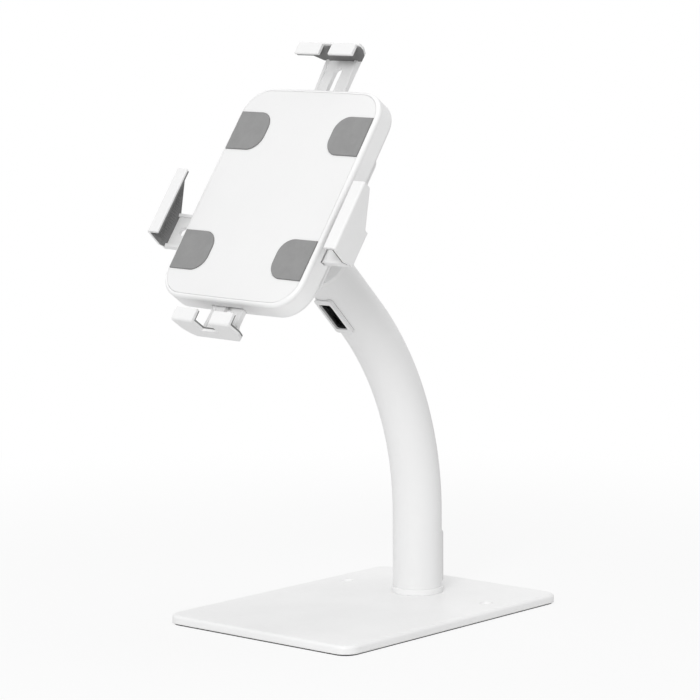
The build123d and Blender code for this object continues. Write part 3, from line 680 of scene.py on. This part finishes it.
class GeometryTree:
    """A Geometry Nodes tree with named inputs."""

    KINDS = {
        float: "NodeSocketFloat",
        tuple: "NodeSocketVector",
        bpy.types.Material: "NodeSocketMaterial",
    }

    def __init__(self, name: str, inputs: dict[str, Any]) -> None:
        """Starts the tree.

        Args:
            name: Name of the tree.
            inputs: Default of each input by name, None for a material.
        """
        self.tree = bpy.data.node_groups.new(name, "GeometryNodeTree")
        new_socket = self.tree.interface.new_socket
        new_socket("Geometry", in_out="INPUT", socket_type="NodeSocketGeometry")
        self.identifiers: dict[str, str] = {}
        for title, value in inputs.items():
            kind = self.KINDS[bpy.types.Material if value is None else type(value)]
            socket = new_socket(title, in_out="INPUT", socket_type=kind)
            if value is not None:
                socket.default_value = value
            self.identifiers[title] = socket.identifier
        new_socket("Geometry", in_out="OUTPUT", socket_type="NodeSocketGeometry")
        self.sheet = NodeSheet(self.tree)
        self.given = self.sheet.add("NodeGroupInput")
        self.out = self.sheet.add("NodeGroupOutput")

    def value(self, title: str) -> bpy.types.NodeSocket:
        """Socket of a named input."""
        return self.given.outputs[title]

    def maths(self, operation: str, *values: Any) -> bpy.types.NodeSocket:
        """Output of a Math node."""
        return self.sheet.maths(operation, *values)

    def scaled(self, title: str, share: float) -> bpy.types.NodeSocket:
        """A named input times a share."""
        return self.maths("MULTIPLY", self.value(title), share)

    def vector(self, x: Any = 0.0, y: Any = 0.0, z: Any = 0.0) -> bpy.types.NodeSocket:
        """Vector of three values."""
        return self.sheet.add("ShaderNodeCombineXYZ", {0: x, 1: y, 2: z}).outputs[0]

    def tube(
        self, sides: int, radius: Any, depth: Any, top: Any = 0.0, tip: Any = None
    ) -> bpy.types.NodeSocket:
        """Closed cylinder or cone whose upper end is at a level on z.

        Args:
            sides: Number of sides.
            radius: Radius of the upper end.
            depth: Length downwards.
            top: Level of the upper end.
            tip: Radius of the lower end, or None for a cylinder.

        Returns:
            Socket of the mesh.
        """
        sheet = self.sheet
        if tip is None:
            form = sheet.add(
                "GeometryNodeMeshCylinder", {"Vertices": sides, "Radius": radius, "Depth": depth}
            )
            level = self.maths("SUBTRACT", top, self.maths("MULTIPLY", depth, 0.5))
        else:
            form = sheet.add(
                "GeometryNodeMeshCone",
                {"Vertices": sides, "Radius Top": radius, "Radius Bottom": tip, "Depth": depth},
            )
            level = self.maths("SUBTRACT", top, depth)
        return self.moved(form.outputs["Mesh"], self.vector(z=level))

    def swept(self, path: bpy.types.NodeSocket, sides: int, radius: Any) -> bpy.types.NodeSocket:
        """Round bar along a curve, with closed ends."""
        ring = self.sheet.add(
            "GeometryNodeCurvePrimitiveCircle", {"Resolution": sides, "Radius": radius}
        )
        return self.sheet.add(
            "GeometryNodeCurveToMesh",
            {"Curve": path, "Profile Curve": ring.outputs[0], "Fill Caps": True},
        ).outputs[0]

    def moved(self, geometry: bpy.types.NodeSocket, shift: Any) -> bpy.types.NodeSocket:
        """Geometry moved by a vector."""
        return self.sheet.add(
            "GeometryNodeTransform", {"Geometry": geometry, "Translation": shift}
        ).outputs[0]

    def joined(self, *parts: bpy.types.NodeSocket) -> bpy.types.NodeSocket:
        """Several geometries as one."""
        node = self.sheet.add("GeometryNodeJoinGeometry")
        for part in parts:
            self.tree.links.new(part, node.inputs[0])
        return node.outputs[0]

    def cut(self, body: bpy.types.NodeSocket, tool: bpy.types.NodeSocket) -> bpy.types.NodeSocket:
        """A mesh less another."""
        node = self.sheet.add("GeometryNodeMeshBoolean", operation="DIFFERENCE", solver="EXACT")
        self.tree.links.new(body, node.inputs[0])
        self.tree.links.new(tool, node.inputs[1])
        return node.outputs[0]

    def close(self, form: bpy.types.NodeSocket, axis: bpy.types.NodeSocket) -> None:
        """Sets the form on every point given and ends the tree.

        Args:
            form: Geometry that is repeated.
            axis: Vector that its z axis is turned to.
        """
        sheet = self.sheet
        points = sheet.add("GeometryNodeMeshToPoints", {"Mesh": self.given.outputs["Geometry"]})
        turn = sheet.add("FunctionNodeAlignRotationToVector", {"Vector": axis}, axis="Z")
        copies = sheet.add(
            "GeometryNodeInstanceOnPoints",
            {"Points": points.outputs[0], "Instance": form, "Rotation": turn.outputs[0]},
        )
        self.end(copies.outputs[0])

    def end(self, form: bpy.types.NodeSocket) -> None:
        """Makes the form plain mesh, gives it its material and ends the tree."""
        sheet = self.sheet
        solid = sheet.add("GeometryNodeRealizeInstances", {0: form})
        dressed = sheet.add(
            "GeometryNodeSetMaterial",
            {"Geometry": solid.outputs[0], "Material": self.value("Material")},
        )
        sheet.feed(self.out.inputs[0], dressed.outputs[0])

    def apply(
        self,
        name: str,
        points: Iterable[Vector],
        edges: Sequence[tuple[int, int]] = (),
        **values: Any,
    ) -> bpy.types.Object:
        """Runs the tree on a set of points and keeps the plain mesh.

        Args:
            name: Name of the new piece.
            points: Places of the copies, or ends of the lines.
            edges: Pairs of points that a line joins.
            **values: Values of the named inputs, in small letters with _ for a space.

        Returns:
            The finished piece at the origin.
        """
        seeds = bpy.data.meshes.new(name + "_places")
        seeds.from_pydata([tuple(point) for point in points], list(edges), [])
        holder = new_piece(name + "_work", seeds)
        modifier = holder.modifiers.new("form", "NODES")
        modifier.node_group = self.tree
        for title, value in values.items():
            modifier[self.identifiers[title.replace("_", " ").capitalize()]] = value
        bpy.context.view_layer.update()
        shown = holder.evaluated_get(bpy.context.evaluated_depsgraph_get())
        mesh = bpy.data.meshes.new_from_object(shown)
        holder.modifiers.remove(modifier)
        bpy.data.objects.remove(holder)
        bpy.data.meshes.remove(seeds)
        for face in mesh.polygons:
            face.use_smooth = True
        mesh.set_sharp_from_angle(angle=SHARP_ANGLE)
        mesh.name = name
        return new_piece(name, mesh)


@dataclass(frozen=True)
class ScrewSize:
    """Lengths of one kind of screw, in millimetres."""

    head_radius: float
    head_height: float
    sunk_height: float
    shank_radius: float
    socket_radius: float
    socket_depth: float
    pitch: float


class ScrewTree(GeometryTree):
    """Screw with a flat or sunk head, a hexagon socket and a thread."""

    HEAD_SIDES = 40
    SOCKET_SIDES = 6
    SHANK_SIDES = 24
    TURN_STEPS = 20
    RIDGE_SIDES = 4
    EDGE_SHARE = 0.18
    ROOT_SHARE = 0.3
    RIDGE_SHARE = 0.33
    THREAD_SHARE = 0.94
    THREAD_DROP = 0.97

    def __init__(self) -> None:
        """Builds the form, head up, with the head's top at the point."""
        super().__init__(
            "threaded_screw",
            {
                "Head radius": 0.004, "Head height": 0.002, "Sunk height": 0.0001,
                "Shank radius": 0.002, "Length": 0.012, "Socket radius": 0.0014,
                "Socket depth": 0.001, "Pitch": 0.0007, "Axis": (0.0, 0.0, 1.0), "Material": None,
            },
        )
        head_radius = self.value("Head radius")
        edge = self.scaled("Head height", self.EDGE_SHARE)
        narrow = self.maths("SUBTRACT", head_radius, edge)
        rim = self.tube(self.HEAD_SIDES, narrow, edge, 0.0, head_radius)
        wall_height = self.maths("SUBTRACT", self.value("Head height"), edge)
        wall_top = self.maths("MULTIPLY", edge, -1.0)
        wall = self.tube(self.HEAD_SIDES, head_radius, wall_height, wall_top)
        socket = self.tube(
            self.SOCKET_SIDES,
            self.value("Socket radius"),
            self.scaled("Socket depth", 2.0),
            self.value("Socket depth"),
        )
        head = self.cut(self.cut(rim, socket), socket)
        wall = self.cut(wall, socket)
        low = self.scaled("Head height", -1.0)
        sunk = self.tube(
            self.HEAD_SIDES, head_radius, self.value("Sunk height"), low, self.value("Shank radius")
        )
        below = self.maths("SUBTRACT", low, self.value("Sunk height"))
        shank_length = self.maths("ADD", self.value("Length"), below)
        root = self.scaled("Pitch", self.ROOT_SHARE)
        core = self.maths("SUBTRACT", self.value("Shank radius"), root)
        shank = self.tube(self.SHANK_SIDES, core, shank_length, below)
        spiral = self.sheet.add(
            "GeometryNodeCurveSpiral",
            {
                "Resolution": self.TURN_STEPS,
                "Rotations": self.maths("DIVIDE", shank_length, self.value("Pitch")),
                "Start Radius": core,
                "End Radius": core,
                "Height": self.maths("MULTIPLY", shank_length, self.THREAD_SHARE),
            },
        )
        thread = self.swept(
            spiral.outputs[0], self.RIDGE_SIDES, self.scaled("Pitch", self.RIDGE_SHARE)
        )
        drop = self.maths("MULTIPLY", shank_length, self.THREAD_DROP)
        thread = self.moved(thread, self.vector(z=self.maths("SUBTRACT", below, drop)))
        self.close(self.joined(head, wall, sunk, shank, thread), self.value("Axis"))

    def place(
        self, shop: "Workshop", body: Body, node: str, out: Vector, size: ScrewSize
    ) -> None:
        """Puts a threaded screw in the place of each screw of a CAD node.

        Args:
            shop: Gives the finish and hangs the piece on its body.
            body: Body that carries the screws.
            node: Name of the CAD node.
            out: Direction in which the heads face.
            size: Lengths of the screw.
        """
        places = shafts(node, out)
        lengths = {title: length * MM for title, length in asdict(size).items()}
        piece = self.apply(
            node.removesuffix("s") + "_set", [shaft.head for shaft in places],
            length=places[0].length, axis=tuple(out), material=shop.material(shop.book.steel),
            **lengths,
        )
        shop.fit(piece, body, Slot.STEEL, node)


class InsertTree(GeometryTree):
    """Threaded insert with a knurled outside."""

    SIDES = 36
    TEETH = 28
    CORE_SHARE = 0.93
    RING_SHARE = 0.935
    TOOTH_WIDTH = 0.12
    TOOTH_THICKNESS = 0.09
    TOOTH_LENGTH = 0.36
    BAND_LEVELS = (-0.25, -0.75)
    DRILL_SHARE = 1.4
    DRILL_TOP = 0.2

    def __init__(self) -> None:
        """Builds the form, mouth up, with the mouth at the point."""
        super().__init__(
            "knurled_insert",
            {
                "Radius": 0.003, "Bore": 0.002, "Length": 0.0054, "Axis": (0.0, 0.0, 1.0),
                "Material": None,
            },
        )
        core = self.tube(self.SIDES, self.scaled("Radius", self.CORE_SHARE), self.value("Length"))
        hole = self.tube(
            self.SIDES,
            self.value("Bore"),
            self.scaled("Length", self.DRILL_SHARE),
            self.scaled("Length", self.DRILL_TOP),
        )
        tooth = self.vector(
            self.scaled("Radius", self.TOOTH_WIDTH),
            self.scaled("Radius", self.TOOTH_THICKNESS),
            self.scaled("Length", self.TOOTH_LENGTH),
        )
        ridge = self.sheet.add("GeometryNodeMeshCube", {"Size": tooth})
        ring = self.sheet.add(
            "GeometryNodeMeshCircle",
            {"Vertices": self.TEETH, "Radius": self.scaled("Radius", self.RING_SHARE)},
        )
        place = self.sheet.add("GeometryNodeInputPosition")
        turn = self.sheet.add(
            "FunctionNodeAlignRotationToVector", {"Vector": place.outputs[0]}, axis="X"
        )
        teeth = self.sheet.add(
            "GeometryNodeInstanceOnPoints",
            {"Points": ring.outputs[0], "Instance": ridge.outputs[0], "Rotation": turn.outputs[0]},
        )
        bands = [
            self.moved(teeth.outputs[0], self.vector(z=self.scaled("Length", level)))
            for level in self.BAND_LEVELS
        ]
        self.close(self.joined(self.cut(core, hole), *bands), self.value("Axis"))


class RibTree(GeometryTree):
    """Round rib along every line given."""

    SIDES = 8

    def __init__(self) -> None:
        """Builds the form with closed ends."""
        super().__init__("grip_ribs", {"Radius": 0.0003, "Material": None})
        path = self.sheet.add("GeometryNodeMeshToCurve", {"Mesh": self.value("Geometry")})
        self.end(self.swept(path.outputs[0], self.SIDES, self.value("Radius")))


@dataclass(frozen=True)
class HolderFrame:
    """Place of the tablet holder, with its lengths in millimetres."""

    centre: Place = (0.0, -102.8, 322.894)
    across: Place = (0.999507, -0.017565, -0.026041)
    along: Place = (0.031411, 0.558917, 0.828628)
    out: Place = (0.0, -0.829038, 0.559193)


@dataclass
class BaseAssembly:
    """Steel foot plate, its sheet and the screws that hold the pole."""

    shop: Workshop
    screw: ScrewSize = ScrewSize(
        head_radius=5.0, head_height=3.0, sunk_height=0.05, shank_radius=2.5,
        socket_radius=2.4, socket_depth=1.6, pitch=0.8,
    )

    def dress(self) -> None:
        """Finishes the plate and its sheet."""
        book = self.shop.book
        self.shop.dress(book.powder_coat, "base_plate")
        self.shop.dress(book.foot, "base_sheet")
        self.shop.dress(book.steel, "pole_foot_plug")

    def build_screws(self, tree: ScrewTree) -> None:
        """Puts the threaded screws under the pole.

        Args:
            tree: The screw's form.
        """
        tree.place(self.shop, Body.STAND, "pole_screws", Vector((0, 0, -1)), self.screw)


@dataclass
class PoleAssembly:
    """Curved tube with its collar, cord ports and head."""

    shop: Workshop

    def dress(self) -> None:
        """Finishes the pole's pieces."""
        book = self.shop.book
        self.shop.dress(book.pipe, "pole_tube")
        self.shop.dress(book.powder_coat, "pole_foot_collar")
        self.shop.dress(book.port, "lower_cable_port", "upper_cable_port")
        self.shop.dress(book.shell, "pole_head")
        self.shop.dress(book.steel, "head_screw")


@dataclass
class TiltAssembly:
    """Fork, bolt and swivel that carry the holder."""

    shop: Workshop

    def dress(self) -> None:
        """Finishes the joint's pieces."""
        book = self.shop.book
        self.shop.dress(book.powder_coat, "tilt_bracket")
        self.shop.dress(book.steel, "tilt_bolt", "tilt_nut", "swivel_screw", "swivel_washer")
        self.shop.dress(book.nylon, "tilt_washers", "swivel_friction_ring")


@dataclass
class HolderAssembly:
    """Housing, bezel, face, rear cover, grip pads and their fasteners."""

    shop: Workshop
    holder: HolderFrame
    clamp_screw: ScrewSize = ScrewSize(
        head_radius=3.7, head_height=2.4, sunk_height=0.05, shank_radius=2.0,
        socket_radius=1.35, socket_depth=1.3, pitch=0.7,
    )
    housing_screw: ScrewSize = ScrewSize(
        head_radius=2.6, head_height=0.3, sunk_height=1.3, shank_radius=1.4,
        socket_radius=0.95, socket_depth=0.25, pitch=0.7,
    )
    insert_radius: float = 3.0
    insert_bore: float = 2.05

    def dress(self) -> None:
        """Finishes the shells and the pads."""
        book = self.shop.book
        self.shop.dress(book.shell, "rear_housing", "rear_cover")
        self.shop.dress(book.bezel, "front_bezel")
        self.shop.dress(book.face, "face_plate")
        for corner in ("right_top", "left_top", "right_bottom", "left_bottom"):
            self.shop.dress(book.pad, "pad_" + corner)

    def build_fasteners(self, screws: ScrewTree, inserts: InsertTree) -> None:
        """Puts in the clamp screws, their inserts and the housing screws.

        Args:
            screws: The screw's form.
            inserts: The insert's form.
        """
        back = Vector(self.holder.out) * -1
        screws.place(self.shop, Body.HOLDER, "arm_clamp_screws", back, self.clamp_screw)
        screws.place(self.shop, Body.HOLDER, "housing_screws", back, self.housing_screw)
        sleeves = shafts("arm_inserts", back)
        piece = inserts.apply(
            "arm_insert_set", [shaft.head for shaft in sleeves],
            radius=self.insert_radius * MM, bore=self.insert_bore * MM, length=sleeves[0].length,
            axis=tuple(back), material=self.shop.material(self.shop.book.brass),
        )
        self.shop.fit(piece, Body.HOLDER, Slot.BRASS, "arm_inserts")


@dataclass
class JawAssembly:
    """Four sliding jaws and their ribbed soft liners, with lengths in millimetres."""

    shop: Workshop
    holder: HolderFrame
    rib_radius: float = 0.3
    rib_pitch: float = 2.1
    rib_sink: float = 0.08
    rib_margin: float = 0.5
    shortest_rib: float = 2.0
    end_margin: float = 1.6
    level_step: float = 0.2
    flatness: float = 0.05
    facing: float = 0.98

    def dress(self) -> None:
        """Finishes the jaws and liners."""
        for jaw in Jaw:
            self.shop.dress(self.shop.book.jaw, "jaw_" + jaw.value)
            self.shop.dress(self.shop.book.liner, "liner_" + jaw.value)

    def wall_reaches(
        self, surface: BVHTree, points: Iterable[Vector], outward: Vector
    ) -> list[float | None]:
        """Distance from each point to a wall that faces it.

        Args:
            surface: Faces of the liner.
            points: Points inside the holder.
            outward: Direction from the holder's middle to the liner.

        Returns:
            One distance for each point, or None where no such wall is met.
        """
        reaches: list[float | None] = []
        for point in points:
            hit, normal, _, reach = surface.ray_cast(point, outward)
            faces = hit is not None and abs(normal.dot(outward)) > self.facing
            reaches.append(reach if faces else None)
        return reaches

    def rib_lines(self, jaw: Jaw) -> list[tuple[Vector, Vector]]:
        """Lines of the ribs on the wall of one liner.

        Args:
            jaw: The jaw whose liner is ribbed.

        Returns:
            The two ends of each rib.
        """
        centre = Vector(self.holder.centre) * MM
        across, along = Vector(self.holder.across), Vector(self.holder.along)
        out = Vector(self.holder.out)
        ways = {
            Jaw.TOP: (along, across),
            Jaw.BOTTOM: (-along, across),
            Jaw.LEFT: (-across, along),
            Jaw.RIGHT: (across, along),
        }
        outward, length_way = ways[jaw]
        mesh = frame["nodes"]["liner_" + jaw.value].data
        corners = [vertex.co.copy() for vertex in mesh.vertices]
        surface = BVHTree.FromPolygons(corners, [face.vertices[:] for face in mesh.polygons])
        start, end = span([(corner - centre).dot(length_way) for corner in corners])
        low, high = span([(corner - centre).dot(out) for corner in corners])
        gaps = int((end - start - 2 * self.end_margin * MM) / (self.rib_pitch * MM))
        first = (start + end - gaps * self.rib_pitch * MM) / 2
        steps = int((high - low) / (self.level_step * MM))
        levels = [low + number * self.level_step * MM for number in range(steps + 1)]
        roots = [
            centre + length_way * (first + number * self.rib_pitch * MM)
            for number in range(gaps + 1)
        ]
        reaches = [
            self.wall_reaches(surface, [root + out * level for level in levels], outward)
            for root in roots
        ]
        wall = max(reach for found in reaches for reach in found if reach is not None)
        lines = []
        for root, found in zip(roots, reaches):
            flat = [
                level
                for level, reach in zip(levels, found)
                if reach is not None and abs(reach - wall) < self.flatness * MM
            ]
            if not flat or flat[-1] - flat[0] < self.shortest_rib * MM:
                continue
            base = root + outward * (wall + self.rib_sink * MM)
            ends = (flat[0] + self.rib_margin * MM, flat[-1] - self.rib_margin * MM)
            lines.append((base + out * ends[0], base + out * ends[1]))
        return lines

    def build_ribs(self, tree: RibTree) -> None:
        """Puts the ribs on the four liners.

        Args:
            tree: The rib's form.
        """
        for jaw in Jaw:
            lines = self.rib_lines(jaw)
            piece = tree.apply(
                "grip_ribs_" + jaw.value, [point for line in lines for point in line],
                [(2 * number, 2 * number + 1) for number in range(len(lines))],
                radius=self.rib_radius * MM, material=self.shop.material(self.shop.book.liner),
            )
            self.shop.fit(piece, jaw.body, Slot.RUBBER_DARK)


@dataclass
class LockAssembly:
    """Cover lock with its case, core and cam."""

    shop: Workshop

    def dress(self) -> None:
        """Finishes the lock's pieces."""
        book = self.shop.book
        self.shop.dress(book.chrome, "lock_case")
        self.shop.dress(book.brass, "lock_core")
        self.shop.dress(book.steel, "lock_cam")


@dataclass(frozen=True)
class Lamp:
    """A soft area lamp that looks at a point."""

    name: str
    place: Place
    size: float
    power: float
    target: Place = (0.0, -0.02, 0.2)

    def hang(self) -> None:
        """Adds the lamp to the scene."""
        light = bpy.data.lights.new(self.name, "AREA")
        light.shape = "DISK"
        light.size = self.size
        light.energy = self.power
        piece = new_piece(self.name, light)
        way = Vector(self.target) - Vector(self.place)
        turn = way.to_track_quat("-Z", "Y").to_matrix().to_4x4()
        piece.matrix_world = Matrix.Translation(self.place) @ turn


@dataclass
class Studio:
    """Pale floor, soft lamps, white backdrop and the camera."""

    floor_half: float = 8.0
    floor_shade: float = 0.8
    floor_glow: float = 0.82
    glow_near: float = 0.25
    glow_far: float = 0.9
    world_level: float = 0.575
    focal: float = 137.96
    sensor_width: float = 36.0
    sight: float = 50.0
    camera_place: Place = (1.30812, -1.51842, 0.42304)
    turn: float = 41.065
    drop: float = 6.322
    roll: float = -0.342
    lamps: Sequence[Lamp] = field(
        default_factory=lambda: (
            Lamp("key_lamp", (0.95, -1.9, 1.15), 0.9, 22.0),
            Lamp("side_lamp", (-1.9, -0.5, 0.8), 1.2, 2.4),
            Lamp("top_lamp", (0.1, 0.1, 2.2), 1.6, 11.0),
        )
    )

    def set_floor(self) -> None:
        """Lays the floor, white to the camera and with the object's shadow."""
        half = self.floor_half
        mesh = bpy.data.meshes.new("floor")
        corners = [(-half, -half, 0), (half, -half, 0), (half, half, 0), (-half, half, 0)]
        mesh.from_pydata(corners, [], [(0, 1, 2, 3)])
        floor = new_piece("floor", mesh)
        material = bpy.data.materials.new("pale_floor")
        sheet = empty_sheet(material)
        matt = sheet.add("ShaderNodeBsdfDiffuse", {"Color": (*[self.floor_shade] * 3, 1.0)})
        glow = sheet.add("ShaderNodeEmission", {"Color": WHITE, "Strength": 1.0})
        place = sheet.add("ShaderNodeTexCoord").outputs["Object"]
        reach = sheet.add("ShaderNodeVectorMath", {0: place}, operation="LENGTH").outputs["Value"]
        glow_share = sheet.ramp(reach, self.glow_near, self.glow_far, self.floor_glow, 1.0)
        seen = sheet.add("ShaderNodeLightPath").outputs["Is Camera Ray"]
        share = sheet.maths("MULTIPLY", seen, glow_share)
        mixed = sheet.add("ShaderNodeMixShader", {0: share, 1: matt.outputs[0], 2: glow.outputs[0]})
        sheet.add("ShaderNodeOutputMaterial", {"Surface": mixed.outputs[0]})
        mesh.materials.append(material)

    def set_world(self) -> None:
        """Sets the soft surround and the white backdrop."""
        world = bpy.data.worlds.new("soft_surround")
        bpy.context.scene.world = world
        sheet = empty_sheet(world)
        path = sheet.add("ShaderNodeLightPath").outputs
        seen = sheet.maths("ADD", path["Is Camera Ray"], path["Is Glossy Ray"])
        seen = sheet.maths("ADD", seen, path["Is Transmission Ray"], clamp=True)
        strength = sheet.add(
            "ShaderNodeMapRange", {0: seen, 1: 0.0, 2: 1.0, 3: self.world_level, 4: 1.0}
        )
        back = sheet.add(
            "ShaderNodeBackground", {"Color": WHITE, "Strength": strength.outputs[0]}
        )
        sheet.add("ShaderNodeOutputWorld", {"Surface": back.outputs[0]})

    def set_camera(self) -> None:
        """Sets the camera on the stand, from its front right."""
        turn, drop, roll = (math.radians(angle) for angle in (self.turn, self.drop, self.roll))
        right = Vector((math.cos(turn), math.sin(turn), 0))
        level = Vector((-math.sin(turn), math.cos(turn), 0))
        ahead = level * math.cos(drop) - Vector((0, 0, math.sin(drop)))
        up = right.cross(ahead)
        tipped_right = right * math.cos(roll) + up * math.sin(roll)
        tipped_up = up * math.cos(roll) - right * math.sin(roll)
        data = bpy.data.cameras.new("picture_camera")
        data.lens = self.focal
        data.sensor_width = self.sensor_width
        data.clip_end = self.sight
        camera = new_piece("picture_camera", data)
        axes = Matrix((tipped_right, tipped_up, -ahead)).transposed().to_4x4()
        camera.matrix_world = Matrix.Translation(self.camera_place) @ axes
        bpy.context.scene.camera = camera

    def build(self) -> None:
        """Sets the whole studio."""
        self.set_floor()
        self.set_world()
        for lamp in self.lamps:
            lamp.hang()
        self.set_camera()
        bpy.context.scene.view_settings.view_transform = "Standard"


def main() -> None:
    """Dresses the stand, builds its small pieces and sets the studio."""
    logging.basicConfig(level=logging.INFO, format="%(name)s: %(message)s")
    shop = Workshop()
    holder = HolderFrame()
    screws, inserts = ScrewTree(), InsertTree()
    base = BaseAssembly(shop)
    base.dress()
    base.build_screws(screws)
    PoleAssembly(shop).dress()
    TiltAssembly(shop).dress()
    cradle = HolderAssembly(shop, holder)
    cradle.dress()
    cradle.build_fasteners(screws, inserts)
    jaws = JawAssembly(shop, holder)
    jaws.dress()
    jaws.build_ribs(RibTree())
    LockAssembly(shop).dress()
    Studio().build()


if __name__ == "__main__":
    main()
